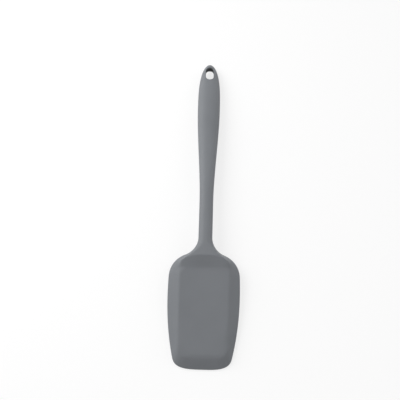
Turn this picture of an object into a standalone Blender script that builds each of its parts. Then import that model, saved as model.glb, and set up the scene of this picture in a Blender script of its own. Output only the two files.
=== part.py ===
"""A one-piece silicone spoon: a soft grey skin moulded over a black nylon core.

The spoon lies on a table with its bowl facing down, as it is put to drain. The tip of the
bowl is towards -Y and the handle towards +Y. All sizes are in metres. A distance called t
is measured along the spoon from the tip of the bowl.
"""
import math

import bmesh
import bpy
import numpy as np

# Overall sizes
LENGTH = 0.285
HEAD_LENGTH = 0.096          # tip to the middle of the crease under the neck
HEAD_WIDTH = 0.0628
HEAD_HEIGHT = 0.0075         # from the plane of the rim to the flat back
HEAD_TILT = math.radians(5.0)
REST_FLAT = 0.0003           # cut off the tip edge, so that it lies flat on the table

# Outline of the head
TIP_ROUNDING = 0.0109        # length over which the tip edge turns into the sides
TIP_SHARPNESS = 3.36
SIDE_TAPER = 0.0083          # what each side would lose by the tip
SIDE_TAPER_FROM_CREASE = 0.032
SIDE_TAPER_POWER = 2.16
SIDE_DRAW = 0.00034          # what each side loses by the shoulder
SHOULDER_FROM_CREASE = 0.0172
SHOULDER_RADIUS = 0.0207
FLARE_RADIUS = 0.0159

# Flat back panel and the walls round it
PANEL_WIDTH_TOP = 0.0434
PANEL_WIDTH_TIP = 0.0423
PANEL_TIP_GAP = 0.0093       # from the tip to the panel
PANEL_CORNER = 0.0045
PANEL_CROWN = 0.0009         # how far the panel drops by its tip end
PANEL_CROWN_LENGTH = 0.030
RAMP_LENGTH = 0.0110         # the step down from the neck to the panel
CREASE_ROUNDING = 0.0002
RAMP_FOOT_ROUNDING = 0.0008
CREASE_ARC_POWER = 2.6       # the crease runs straight across, then turns to its ends
CREASE_HEIGHT = 0.0107       # top of the crease over the plane of the rim
CREST_HEIGHT = 0.0084        # its ends over the plane of the rim
SHOULDER_WALL = 0.0040       # plan width of the wall beside the ends of the crease
CREST_ROUNDING = 0.0015
NECK_SIDE_SHARE = 0.4        # least half width of the flare's back, over that of its rim
TIP_FAN_LENGTH = 0.010       # sides on which the sections start to turn round the corner
TIP_FAN_MIDDLE = 0.002       # from the end of the panel's sides to the middle of the turn

# Bowl inside
LIP_THICKNESS = 0.0016
LIP_WIDTH = 0.0016
WALL_THICKNESS = 0.0022
FLOOR_ROUNDING = 0.0016
FLOOR_EDGE_SHARE = 0.91      # edge of the bowl's floor, as a share of the wall's width

# Largest shares of a wall or of the back that a rounding or the lip may take
CREST_LIMIT = 0.4
BACK_LIMIT = 0.3
LIP_LIMIT = 0.25
FLAT_LIMIT = 0.5
FLOOR_LIMIT = 0.2

# Neck and grip
NECK_WIDTH = 0.0123
NECK_THICKNESS = 0.0105
NECK_LENGTH = 0.0315         # straight part behind the flare
NECK_HEIGHT = 0.0137         # middle of the neck over the table at the crease
GRIP_WIDTH = 0.0207
GRIP_THICKNESS = 0.0140
GRIP_PEAK_FROM_END = 0.0452
END_FULLNESS = 2.9
END_THICKNESS = 0.0088
END_FAN_LENGTH = 0.021       # end over which the sections turn round
END_FAN_MIDDLE = 0.008       # from the end to the middle of that turn
HANDLE_SQUARENESS = 2.25

# Hanging hole
HOLE_WIDTH = 0.0074
HOLE_LENGTH = 0.0132
HOLE_FROM_END = 0.0111       # middle of the hole

# Nylon core
SKIN = 0.0022                # from the outer surface to the core
CLEARANCE = 0.0003
TONGUE_FROM_CREASE = 0.0030
TONGUE_THICKNESS = 0.0036
TONGUE_END_ROUNDING = 0.0035
TONGUE_FAN_LENGTH = 0.00096
TONGUE_HOLE = 0.0044
TONGUE_HOLE_FROM_END = 0.0077
WINDOW_WIDTH = 0.0056
WINDOW_LENGTH = 0.0130
WINDOW_PITCH = 0.0185
WINDOW_COUNT = 4
WINDOW_FROM_HOLE = 0.0230    # middle of the hole to the middle of the nearest window

# Finishes
SILICONE_COLOUR = (0.181, 0.195, 0.209)
SILICONE_ROUGHNESS = 0.6
NYLON_COLOUR = (0.012, 0.012, 0.013)
NYLON_ROUGHNESS = 0.45
SMOOTH_ANGLE = math.radians(40.0)

# Points nearer than this are one point, on one half and across the mirror
HALF_MERGE = 0.00001
MIRROR_MERGE = 0.00005

# Rows and points of the lofts, and how far a cutter reaches above and below the handle
END_ROWS = 7
END_SIDE_ROWS = 4
GRIP_ROWS = 15
NECK_ROWS = 4
FLARE_ROWS = 8
RAMP_ROWS = 6
PANEL_ROWS = 6
TIP_ROWS = 13
TONGUE_SIDE_ROWS = 4
TONGUE_END_ROWS = 5
INNER_POINTS = 5
CORE_POINTS = 5
FLOOR_POINTS = 3
SLOT_ARC_POINTS = 13
CUTTER_REACH = 0.02
CUTTER_DECIMALS = 9          # so that the point on the mirror's plane lies exactly in it

# The sides meet the shoulder here, and its round arc meets the flare's hollow one at this angle
SIDE_TAPER_START = HEAD_LENGTH - SIDE_TAPER_FROM_CREASE
SHOULDER_START = HEAD_LENGTH - SHOULDER_FROM_CREASE
SIDE_LEAN = math.atan(2.0 * SIDE_DRAW / (SHOULDER_START - SIDE_TAPER_START))
SHOULDER_REACH = 0.5 * (HEAD_WIDTH - NECK_WIDTH) - SIDE_DRAW
FLARE_ANGLE = math.acos((FLARE_RADIUS + SHOULDER_RADIUS * math.cos(SIDE_LEAN) - SHOULDER_REACH)
                        / (FLARE_RADIUS + SHOULDER_RADIUS))

# Where the main features fall along the spoon
SHOULDER_END = SHOULDER_START + SHOULDER_RADIUS * (math.sin(FLARE_ANGLE) - math.sin(SIDE_LEAN))
FLARE_START = SHOULDER_END + FLARE_RADIUS * math.sin(FLARE_ANGLE)
GRIP_START = FLARE_START + NECK_LENGTH
GRIP_PEAK = LENGTH - GRIP_PEAK_FROM_END
HOLE_CENTRE = LENGTH - HOLE_FROM_END
PANEL_TOP = HEAD_LENGTH - RAMP_LENGTH
CREASE_END = 0.5 * (PANEL_WIDTH_TOP - CREST_ROUNDING)
PANEL_TIP_TURN = PANEL_TIP_GAP + PANEL_CORNER
FAN_START = PANEL_TIP_TURN + TIP_FAN_LENGTH


def smooth_step(start, end, value):
    """Rise from 0 at start to 1 at end with level ends."""
    share = np.clip((value - start) / (end - start), 0.0, 1.0)
    return share * share * (3.0 - 2.0 * share)


def handle_half_width(t):
    """Half the width of the neck and grip, as far as the widest point of the grip."""
    rise = smooth_step(GRIP_START, GRIP_PEAK, t)
    return 0.5 * (NECK_WIDTH + (GRIP_WIDTH - NECK_WIDTH) * rise)


def handle_half_thickness(t):
    """Half the thickness of the handle, which thins again towards the hanging hole."""
    rise = smooth_step(GRIP_START, GRIP_PEAK, t)
    fall = smooth_step(GRIP_PEAK, LENGTH, t)
    thickness = NECK_THICKNESS + (GRIP_THICKNESS - NECK_THICKNESS) * rise
    return 0.5 * (thickness + (END_THICKNESS - GRIP_THICKNESS) * fall)


def handle_slope():
    """Fall of the handle for each unit of length that brings its grip down to the table."""
    t = np.linspace(GRIP_START, LENGTH, 400)
    return float(np.min((NECK_HEIGHT - handle_half_thickness(t)) / (t - HEAD_LENGTH)))


def handle_height(t):
    """Middle line of the handle: it drops from the neck until the grip touches the table."""
    return NECK_HEIGHT - handle_slope() * (t - HEAD_LENGTH)


def rim_height(t):
    """The plane of the bowl's rim rises from the tip, which is cut flat on the table."""
    return t * math.tan(HEAD_TILT) - REST_FLAT


def side_half_width(t):
    """Half the width of the head on its long sides.

    They draw in a lot towards the tip and a little towards the shoulder.
    """
    low = np.clip((SIDE_TAPER_START - t) / SIDE_TAPER_START, 0.0, 1.0)
    high = np.clip((t - SIDE_TAPER_START) / (SHOULDER_START - SIDE_TAPER_START), 0.0, 1.0)
    return 0.5 * HEAD_WIDTH - SIDE_TAPER * low ** SIDE_TAPER_POWER - SIDE_DRAW * high ** 2


def spread_evenly(path, count):
    """Points at even steps along a path that was drawn with many points."""
    steps = np.linalg.norm(np.diff(path, axis=0), axis=1)
    distance = np.concatenate([[0.0], np.cumsum(steps)])
    wanted = np.linspace(0.0, distance[-1], count)
    return np.stack([np.interp(wanted, distance, path[:, k]) for k in range(2)], axis=1)


def closing_fan(start, end, rows):
    """Middle points of a fan of rows after start.

    The last two rows share theirs, so that no face lies in the mirror's plane.
    """
    middles = np.linspace(start, end, rows)[1:]
    return np.append(middles, end)


def end_path(start, inset=0.0):
    """Rounded end of the grip, from its middle to its side at t = start."""
    reach = GRIP_PEAK_FROM_END - inset
    start_angle = math.asin(((start - GRIP_PEAK) / reach) ** (0.5 * END_FULLNESS))
    angle = np.linspace(0.5 * math.pi, start_angle, 120)
    half = (0.5 * GRIP_WIDTH - inset) * np.cos(angle)
    return np.stack([half, GRIP_PEAK + reach * np.sin(angle) ** (2.0 / END_FULLNESS)], axis=1)


def end_half_width(t, inset=0.0):
    """Half the width of the grip, from its widest point to its end."""
    reach = (t - GRIP_PEAK) / (GRIP_PEAK_FROM_END - inset)
    return (0.5 * GRIP_WIDTH - inset) * np.sqrt(1.0 - reach ** END_FULLNESS)


def shoulder_path():
    """Flare and shoulder: a hollow arc from the neck, then a round one that meets it."""
    angle = np.linspace(0.0, FLARE_ANGLE, 60)
    flare = np.stack([0.5 * NECK_WIDTH + FLARE_RADIUS * (1.0 - np.cos(angle)),
                      FLARE_START - FLARE_RADIUS * np.sin(angle)], axis=1)
    angle = np.linspace(FLARE_ANGLE, SIDE_LEAN, 61)[1:]
    shoulder = flare[-1] + SHOULDER_RADIUS * np.stack([np.cos(angle) - math.cos(FLARE_ANGLE),
                                                       np.sin(angle) - math.sin(FLARE_ANGLE)], axis=1)
    return np.concatenate([flare, shoulder])


def tip_path(start):
    """Lower end of the head's outline, from its side at t = start to the tip."""
    side_t = np.linspace(start, TIP_ROUNDING, 40)
    side = np.stack([side_half_width(side_t), side_t], axis=1)
    angle = np.linspace(0.0, 0.5 * math.pi, 120)
    tip_t = TIP_ROUNDING * (1.0 - np.sin(angle) ** (2.0 / TIP_SHARPNESS))
    half = side_half_width(tip_t) * np.cos(angle) ** (2.0 / TIP_SHARPNESS)
    return np.concatenate([side, np.stack([half, tip_t], axis=1)])


def panel_half_width(t):
    """Half the width of the flat back panel."""
    share = (t - PANEL_TIP_GAP) / (PANEL_TOP - PANEL_TIP_GAP)
    return 0.5 * (PANEL_WIDTH_TIP + (PANEL_WIDTH_TOP - PANEL_WIDTH_TIP) * share)


def panel_tip_path(start):
    """Lower end of the panel's outline, from its side at t = start to its middle."""
    side_t = np.linspace(start, PANEL_TIP_TURN, 20)
    side = np.stack([panel_half_width(side_t), side_t], axis=1)
    angle = np.linspace(0.0, 0.5 * math.pi, 40)
    inner = panel_half_width(PANEL_TIP_TURN) - PANEL_CORNER
    corner = np.stack([inner + PANEL_CORNER * np.cos(angle),
                       PANEL_TIP_TURN - PANEL_CORNER * np.sin(angle)], axis=1)
    return np.concatenate([side, corner, [[0.0, PANEL_TIP_GAP]]])


def inward(path, distance):
    """Points of a path moved inwards, square to it."""
    along = np.gradient(path, axis=0)
    along /= np.linalg.norm(along, axis=1)[:, None]
    return path + distance * np.stack([along[:, 1], -along[:, 0]], axis=1)


def head_rows():
    """Rows from the start of the flare to the tip: rim point, crest point and middle point."""
    shoulder = spread_evenly(shoulder_path(), 400)
    inner = inward(shoulder, SHOULDER_WALL)
    turn = int(np.argmin(np.abs(inner[:, 0] - CREASE_END)))

    flare_rim = spread_evenly(shoulder[:turn + 1], FLARE_ROWS)
    flare_crest = spread_evenly(inner[:turn + 1], FLARE_ROWS)
    flare_crest[:, 0] = np.maximum(flare_crest[:, 0], NECK_SIDE_SHARE * flare_rim[:, 0])
    flare_mid = np.linspace(FLARE_START, HEAD_LENGTH, FLARE_ROWS)

    ramp_share = np.linspace(0.0, 1.0, RAMP_ROWS + 1)[1:]
    ramp_mid = HEAD_LENGTH + (PANEL_TOP - HEAD_LENGTH) * ramp_share
    crest_t = flare_crest[-1, 1] + (PANEL_TOP - flare_crest[-1, 1]) * ramp_share
    crest_x = flare_crest[-1, 0] + (0.5 * PANEL_WIDTH_TOP - flare_crest[-1, 0]) * ramp_share
    below = shoulder[turn:]
    below = below[below[:, 1] > PANEL_TOP]
    side_point = [[np.interp(PANEL_TOP, shoulder[::-1, 1], shoulder[::-1, 0]), PANEL_TOP]]
    ramp_rim = spread_evenly(np.concatenate([below, side_point]), RAMP_ROWS + 1)[1:]

    panel_t = np.linspace(PANEL_TOP, FAN_START, PANEL_ROWS + 1)[1:]
    low_shoulder = np.interp(panel_t, shoulder[::-1, 1], shoulder[::-1, 0])
    panel_rim_x = np.where(panel_t > SHOULDER_START, low_shoulder, side_half_width(panel_t))
    tip_rim = spread_evenly(tip_path(FAN_START), TIP_ROWS + 1)[1:]
    tip_crest = spread_evenly(panel_tip_path(FAN_START), TIP_ROWS + 1)[1:]
    tip_mid = closing_fan(FAN_START, PANEL_TIP_TURN + TIP_FAN_MIDDLE, TIP_ROWS)

    rim = np.concatenate([flare_rim, ramp_rim, np.stack([panel_rim_x, panel_t], axis=1), tip_rim])
    crest = np.concatenate([flare_crest, np.stack([crest_x, crest_t], axis=1),
                            np.stack([panel_half_width(panel_t), panel_t], axis=1), tip_crest])
    middle = np.concatenate([flare_mid, ramp_mid, panel_t, tip_mid])
    return rim, crest, middle


def rounded_rise(distance, rounding):
    """Zero before 0 and the distance itself after it, with the corner between them rounded."""
    turn = np.clip(distance + rounding, 0.0, 2.0 * rounding)
    return turn ** 2 / (4.0 * rounding) + np.maximum(distance - rounding, 0.0)


def ramp_share_at(t):
    """Share of the step down that the back has made at t: 0 on the neck, 1 on the panel."""
    distance = HEAD_LENGTH - t
    fall = rounded_rise(distance, CREASE_ROUNDING)
    fall -= rounded_rise(distance - RAMP_LENGTH, RAMP_FOOT_ROUNDING)
    return fall / RAMP_LENGTH


def lowered_at(t):
    """Drop of the panel towards its tip, and of the flare's back, which follows the handle."""
    crown = PANEL_CROWN * np.clip(1.0 - t / PANEL_CROWN_LENGTH, 0.0, 1.0) ** 2
    return crown + (math.tan(HEAD_TILT) + handle_slope()) * np.maximum(t - HEAD_LENGTH, 0.0)


def round_corner(before, corner, after, count):
    """Evenly spaced points on the curve that turns a corner, without its two ends."""
    shares = np.linspace(0.0, 1.0, count + 2)[1:-1]
    return [before * (1 - s) ** 2 + corner * 2 * s * (1 - s) + after * s ** 2 for s in shares]


def head_sections(rim, crest, middle):
    """Half sections of the head, one for each row, from the middle of the back to its underside.

    A section is drawn over e: 0 at the rim, 1 at the crest of the wall and 2 at the middle.
    """
    rows = len(middle)
    wall_run = np.linalg.norm(crest - rim, axis=1)
    panel_run = np.hypot(crest[:, 0], crest[:, 1] - middle)
    fall = ramp_share_at(middle)
    across = np.clip(crest[:, 0] / CREASE_END, 0.0, 1.0)
    ridge = CREASE_HEIGHT + (CREST_HEIGHT - CREASE_HEIGHT) * across ** 2
    top_middle = CREASE_HEIGHT + (HEAD_HEIGHT - CREASE_HEIGHT) * fall - lowered_at(middle)
    top_crest = ridge + (HEAD_HEIGHT - ridge) * fall - lowered_at(crest[:, 1])
    floor = (HEAD_HEIGHT - WALL_THICKNESS) * smooth_step(HEAD_LENGTH, PANEL_TOP, middle)

    def pair(e, height):
        return np.stack([e + np.zeros(rows), height + np.zeros(rows)], axis=1)

    def back(e):
        inner = 2.0 - e
        return pair(e, top_middle + (top_crest - top_middle) * inner ** 2)

    crest_share = np.minimum(CREST_ROUNDING / wall_run, CREST_LIMIT)
    inner_share = np.minimum(CREST_ROUNDING / panel_run, BACK_LIMIT)
    lip_share = np.minimum(0.5 * LIP_THICKNESS / wall_run, LIP_LIMIT)
    flat_share = np.minimum(LIP_WIDTH / wall_run, FLAT_LIMIT)
    floor_share = np.minimum(FLOOR_ROUNDING / wall_run, FLOOR_LIMIT)
    inner_floor_share = np.minimum(FLOOR_ROUNDING / panel_run, BACK_LIMIT)

    crest_inner = back(1.0 + inner_share)
    crest_point = pair(1.0, top_crest)
    lip_top = pair(0.0, LIP_THICKNESS)
    crest_outer = crest_point + (lip_top - crest_point) * crest_share[:, None]
    lip_upper = lip_top + (crest_point - lip_top) * lip_share[:, None]
    rim_point = pair(0.0, 0.5 * LIP_THICKNESS)
    lip_bottom = pair(0.0, 0.0)
    lip_lower = pair(lip_share, 0.0)
    lip_inner = pair(flat_share, 0.0)
    floor_corner = pair(FLOOR_EDGE_SHARE, floor)
    floor_outer = floor_corner + (lip_inner - floor_corner) * floor_share[:, None]
    floor_inner = pair(1.0 + inner_floor_share, floor)
    floor_middle = pair(2.0, floor)

    columns = [back(e) for e in np.linspace(2.0, 1.0 + BACK_LIMIT, INNER_POINTS)]
    columns += [crest_inner] + round_corner(crest_inner, crest_point, crest_outer, 1) + [crest_outer]
    columns += [0.5 * (crest_outer + lip_upper), lip_upper]
    columns += round_corner(lip_upper, lip_top, rim_point, 1) + [rim_point]
    columns += round_corner(rim_point, lip_bottom, lip_lower, 1) + [lip_lower, lip_inner]
    columns += [0.5 * (lip_inner + floor_outer), floor_outer]
    columns += round_corner(floor_outer, floor_corner, floor_inner, 1) + [floor_inner]
    columns += [floor_inner + (floor_middle - floor_inner) * s
                for s in np.linspace(0.0, 1.0, FLOOR_POINTS + 1)[1:]]
    section = np.stack(columns, axis=1)
    rim_column = INNER_POINTS + 6
    return section[:, :, 0], section[:, :, 1], rim_column


def head_points(rim, crest, middle, bow):
    """Half sections of the head as points in space."""
    e, height, rim_column = head_sections(rim, crest, middle)
    outer = np.clip(e, 0.0, 1.0)[:, :, None]
    plan = rim[:, None] + (crest - rim)[:, None] * outer
    inner = np.clip(2.0 - e, 0.0, 1.0)
    inner_x = crest[:, 0, None] * inner
    inner_t = middle[:, None] + (crest[:, 1] - middle)[:, None] * inner ** bow[:, None]
    inside = e > 1.0
    x = np.where(inside, inner_x, plan[:, :, 0])
    t = np.where(inside, inner_t, plan[:, :, 1])
    return np.stack([x, t, np.maximum(rim_height(t) + height, 0.0)], axis=2), rim_column


def handle_points(rim, middle, half_thickness, upper, lower):
    """Half sections of an oval handle, from the middle of its top to the middle of its underside."""
    angle = np.concatenate([np.linspace(0.0, 0.5 * math.pi, upper),
                            np.linspace(0.5 * math.pi, math.pi, lower)[1:]])
    across = np.sin(angle).clip(0.0) ** (2.0 / HANDLE_SQUARENESS)
    up = np.sign(np.cos(angle)) * np.abs(np.cos(angle)) ** (2.0 / HANDLE_SQUARENESS)
    up[upper - 1] = 0.0
    across[[0, -1]] = 0.0
    x = rim[:, 0, None] * across
    t = middle[:, None] + (rim[:, 1] - middle)[:, None] * across
    return np.stack([x, t, handle_height(t) + half_thickness[:, None] * up], axis=2)


def grip_rows(inset=0.0):
    """Rows from the end of the handle to the start of the flare."""
    fan_start = LENGTH - END_FAN_LENGTH
    fan = spread_evenly(end_path(fan_start, inset), END_ROWS + 1)[:-1]
    fan_middle = closing_fan(fan_start, LENGTH - END_FAN_MIDDLE, END_ROWS)[::-1]
    side_t = np.linspace(fan_start, GRIP_PEAK, END_SIDE_ROWS + 1)[:-1]
    side = np.stack([end_half_width(side_t, inset), side_t], axis=1)
    straight = np.concatenate([np.linspace(GRIP_PEAK, GRIP_START, GRIP_ROWS + 1)[:-1],
                               np.linspace(GRIP_START, FLARE_START, NECK_ROWS + 1)])
    grip = np.stack([handle_half_width(straight) - inset, straight], axis=1)
    return np.concatenate([fan, side, grip]), np.concatenate([fan_middle, side_t, straight])


def spoon_points():
    """Half sections of the whole spoon, from the end of the handle to the tip of the bowl."""
    rim, crest, middle = head_rows()
    tip_fan = np.arange(len(middle)) >= len(middle) - TIP_ROWS
    bow = np.where(tip_fan, 1.0, CREASE_ARC_POWER)
    head, rim_column = head_points(rim, crest, middle, bow)
    columns = head.shape[1]
    upper = rim_column + 1
    lower = columns - rim_column
    flare = FLARE_ROWS
    oval = handle_points(rim[:flare], middle[:flare], handle_half_thickness(middle[:flare]), upper, lower)
    share = smooth_step(FLARE_START, HEAD_LENGTH, middle[:flare])[:, None, None]
    head[:flare] = oval * (1.0 - share) + head[:flare] * share
    grip_rim, grip_middle = grip_rows()
    grip = handle_points(grip_rim, grip_middle, handle_half_thickness(grip_middle), upper, lower)
    return np.concatenate([grip[:-1], head])


def core_points(inset):
    """Half sections of the core, or of the room for it where inset is a clearance less."""
    grip_rim, grip_middle = grip_rows(inset)
    radius = FLARE_RADIUS + inset
    centre_x = 0.5 * NECK_WIDTH + FLARE_RADIUS
    tip_t = HEAD_LENGTH + TONGUE_FROM_CREASE + inset - SKIN
    turn_t = tip_t + TONGUE_END_ROUNDING
    angle = np.linspace(0.0, math.asin((FLARE_START - turn_t) / radius), TONGUE_SIDE_ROWS + 1)[1:]
    side = np.stack([centre_x - radius * np.cos(angle), FLARE_START - radius * np.sin(angle)], axis=1)
    angle = np.linspace(0.0, 0.5 * math.pi, TONGUE_END_ROWS + 1)[1:]
    end = np.stack([side[-1, 0] * np.cos(angle), turn_t - (turn_t - tip_t) * np.sin(angle)], axis=1)
    end_middle = closing_fan(turn_t, turn_t - TONGUE_FAN_LENGTH, TONGUE_END_ROWS)
    rim = np.concatenate([grip_rim, side, end])
    middle = np.concatenate([grip_middle, side[:, 1], end_middle])
    thin = 0.5 * (NECK_THICKNESS - TONGUE_THICKNESS) - SKIN
    thinning = thin * smooth_step(FLARE_START, turn_t, middle)
    half = handle_half_thickness(middle) - inset - thinning
    return handle_points(rim, middle, half, CORE_POINTS, CORE_POINTS)


def loft_object(name, half):
    """Object with one half lofted through its sections, and a Mirror for the other half."""
    rows, columns = half.shape[:2]
    shape = bmesh.new()
    grid = [[shape.verts.new((p[0], p[1] - 0.5 * LENGTH, p[2])) for p in row] for row in half]
    for i in range(rows - 1):
        for j in range(columns - 1):
            shape.faces.new((grid[i][j], grid[i][j + 1], grid[i + 1][j + 1], grid[i + 1][j]))
    bmesh.ops.remove_doubles(shape, verts=shape.verts, dist=HALF_MERGE)
    body = finish_object(name, shape)
    mirror = body.modifiers.new("other_half", "MIRROR")
    mirror.merge_threshold = MIRROR_MERGE
    return body


def finish_object(name, shape):
    """Object from a bmesh, shaded smooth except at its sharp edges."""
    mesh = bpy.data.meshes.new(name)
    shape.to_mesh(mesh)
    shape.free()
    mesh.shade_smooth()
    mesh.set_sharp_from_angle(angle=SMOOTH_ANGLE)
    body = bpy.data.objects.new(name, mesh)
    bpy.context.scene.collection.objects.link(body)
    return body


def slot_cutter(name, width, length, t):
    """Upright cutter with round ends, square to the handle at t."""
    radius = 0.5 * width
    straight = max(0.5 * length - radius, 0.0)
    angle = np.linspace(0.0, math.pi, SLOT_ARC_POINTS)
    arc = np.stack([radius * np.cos(angle), straight + radius * np.sin(angle)], axis=1)
    arc = np.round(arc, CUTTER_DECIMALS)
    outline = np.concatenate([arc, -arc])
    shape = bmesh.new()
    bottom = shape.faces.new([shape.verts.new((x, y, -CUTTER_REACH)) for x, y in outline])
    lifted = bmesh.ops.extrude_face_region(shape, geom=[bottom])
    top = [v for v in lifted["geom"] if isinstance(v, bmesh.types.BMVert)]
    bmesh.ops.translate(shape, verts=top, vec=(0.0, 0.0, 2.0 * CUTTER_REACH))
    bmesh.ops.recalc_face_normals(shape, faces=shape.faces)
    cutter = finish_object(name, shape)
    cutter.location = (0.0, t - 0.5 * LENGTH, float(handle_height(t)))
    cutter.rotation_euler.x = -math.atan(handle_slope())
    return as_cutter(cutter)


def as_cutter(body):
    body.hide_render = True
    body.display_type = "WIRE"
    return body


def cut(body, cutter):
    difference = body.modifiers.new(cutter.name, "BOOLEAN")
    difference.operation = "DIFFERENCE"
    difference.solver = "EXACT"
    difference.object = cutter


def cut_core_openings(body, name, grow):
    """Windows and the tongue's hole, which the silicone fills to lock itself to the core."""
    for index in range(WINDOW_COUNT):
        t = HOLE_CENTRE - WINDOW_FROM_HOLE - index * WINDOW_PITCH
        window = slot_cutter(f"{name}_window_{index}", WINDOW_WIDTH + grow, WINDOW_LENGTH + grow, t)
        cut(body, window)
    tongue_t = HEAD_LENGTH + TONGUE_FROM_CREASE - SKIN + TONGUE_HOLE_FROM_END
    cut(body, slot_cutter(f"{name}_tongue_hole", TONGUE_HOLE + grow, TONGUE_HOLE + grow, tongue_t))


def material(name, colour, roughness):
    finish = bpy.data.materials.new(name)
    finish.use_nodes = True
    surface = finish.node_tree.nodes["Principled BSDF"]
    surface.inputs["Base Color"].default_value = (*colour, 1.0)
    surface.inputs["Roughness"].default_value = roughness
    surface.inputs["Metallic"].default_value = 0.0
    return finish


def make_core():
    """Black nylon core: an eye round the hanging hole, a windowed bar, a neck and a tongue."""
    core = loft_object("handle_core", core_points(SKIN))
    cut_core_openings(core, "core", 0.0)
    eye = slot_cutter("core_eye_hole", HOLE_WIDTH + 2 * CLEARANCE, HOLE_LENGTH + 2 * CLEARANCE,
                      HOLE_CENTRE)
    cut(core, eye)
    core.data.materials.append(material("black_nylon", NYLON_COLOUR, NYLON_ROUGHNESS))


def make_silicone_body():
    """Silicone skin of the whole spoon, hollow where the core lies, open at the hanging hole."""
    body = loft_object("silicone_body", spoon_points())
    room = as_cutter(loft_object("room_for_core", core_points(SKIN - CLEARANCE)))
    cut_core_openings(room, "room", -2 * CLEARANCE)
    cut(body, room)
    cut(body, slot_cutter("hanging_hole", HOLE_WIDTH, HOLE_LENGTH, HOLE_CENTRE))
    body.data.materials.append(material("grey_silicone", SILICONE_COLOUR, SILICONE_ROUGHNESS))


def main():
    for old in list(bpy.data.objects):
        bpy.data.objects.remove(old, do_unlink=True)
    make_core()
    make_silicone_body()


main()
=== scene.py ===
import math

import bmesh
import bpy
import numpy as np
from mathutils import Matrix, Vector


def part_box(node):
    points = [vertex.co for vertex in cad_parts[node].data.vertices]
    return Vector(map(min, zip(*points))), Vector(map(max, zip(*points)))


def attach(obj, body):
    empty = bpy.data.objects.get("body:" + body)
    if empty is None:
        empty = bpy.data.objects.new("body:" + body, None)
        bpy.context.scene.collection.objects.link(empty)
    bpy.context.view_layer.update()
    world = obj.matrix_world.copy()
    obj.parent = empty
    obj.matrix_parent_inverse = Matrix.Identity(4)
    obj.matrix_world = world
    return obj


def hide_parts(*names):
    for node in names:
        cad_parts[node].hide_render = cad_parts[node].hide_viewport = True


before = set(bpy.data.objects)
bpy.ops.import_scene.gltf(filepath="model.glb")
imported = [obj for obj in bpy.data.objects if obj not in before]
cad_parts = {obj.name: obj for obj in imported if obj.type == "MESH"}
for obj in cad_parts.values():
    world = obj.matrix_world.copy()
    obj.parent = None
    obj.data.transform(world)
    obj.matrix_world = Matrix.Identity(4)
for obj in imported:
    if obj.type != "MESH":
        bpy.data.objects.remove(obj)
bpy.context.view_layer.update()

# The spoon lies on a table with its bowl facing down. Sizes here are in millimetres.
# A distance called t runs along the spoon from the tip of the bowl to the end of the handle.
millimetre = 0.001             # in the metres of the scene
lowCorner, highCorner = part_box("silicone_body")
spoonLength = 1000.0 * (highCorner[1] - lowCorner[1])
spoonWidth = 1000.0 * (highCorner[0] - lowCorner[0])

handle = {
    "neckWidth": 12.3,
    "neckThickness": 10.5,
    "neckLength": 31.5,        # straight part behind the flare
    "neckHeight": 13.7,        # middle of the neck over the table, at the crease
    "gripWidth": 20.7,
    "gripThickness": 14.0,
    "gripPeakFromEnd": 45.2,
    "endThickness": 8.8,
    "endFullness": 2.9,        # power of the superellipse round the end
    "squareness": 2.25,        # power of the superellipse of each section
    "endFanLength": 21.0,      # end over which the sections turn round
    "endFanMiddle": 8.0,       # distance from the end at which the middle line of these rows starts
}

hangHole = {
    "width": 7.4,
    "length": 13.2,
    "fromEnd": 11.1,           # middle of the hole
    "mouthRounding": 0.4,
    "rowCrowding": 1.7,        # power that crowds the rows towards the hole's lower end
    "halvings": 50,            # steps in the search for the hole's edge on each row
}

head = {
    "length": 96.0,            # tip to the middle of the crease
    "height": 7.5,             # plane of the rim to the flat back
    "tilt": math.radians(5.0),
    "restFlat": 0.3,           # cut off the tip edge, where it lies on the table
    "tipRounding": 10.9,
    "tipSharpness": 3.36,      # power of the superellipse across the tip
    "sideTaper": 8.3,
    "sideTaperFromCrease": 32.0,
    "sideTaperPower": 2.16,
    "sideDraw": 0.34,          # what each side loses by the shoulder
    "shoulderFromCrease": 17.2,
    "shoulderRadius": 20.7,
    "flareRadius": 15.9,
    "panelWidthTop": 43.4,
    "panelWidthTip": 42.3,
    "panelTipGap": 9.3,
    "panelCorner": 8.5,
    "panelCrown": 0.9,
    "panelCrownLength": 30.0,
    "rampLength": 11.0,
    "creaseHeight": 10.7,
    "creaseRounding": 0.7,
    "creaseArcPower": 2.6,     # the crease runs level in its middle and bows down at its ends
    "rampFootRounding": 2.0,
    "crestHeight": 8.4,
    "crestRounding": 1.5,
    "crestRoundingTip": 4.0,
    "crestSoftens": 45.0,      # distance from the tip at which the crest starts to soften
    "crestRoundingShoulder": 6.0,
    "shoulderSoftens": 6.0,    # it softens again from this far below the ramp's foot
    "shoulderPast": 1.0,       # to this far past the ends of the crease
    "shoulderWall": 4.0,
    "neckSideShare": 0.4,      # least width of the flare's back, as a share of its outline
    "tipFanLength": 10.0,      # the rows start to fan out round the tip this far above the panel's corner
    "tipFanMiddle": 2.0,       # and their middle points end this far above it
    "cornerSmoothing": 5.0,    # rows over which the ends of the crease are softened
}

bowl = {
    "lipThickness": 1.6,
    "lipWidth": 1.6,
    "lipInnerRounding": 0.4,
    "wallThickness": 2.2,
    "floorRounding": 1.6,
    "floorEdgeShare": 0.91,    # place of the floor's edge on the way from the rim to the crest
    "softFlat": 4.0,           # the inner edge of the lip takes this many times its share of the flat
    "softInside": 2.0,         # and this many times its share of the inside wall
}

# The most that each rounding, and the flat of the lip, may take of the wall or of the panel's
# half width
roundingLimits = {
    "crest": 0.4, "crestAtShoulder": 0.75, "crestInner": 0.3, "lip": 0.25, "lipFlat": 0.5,
    "lipInner": 0.1, "floorOuter": 0.2, "floorInner": 0.3,
}

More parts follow.
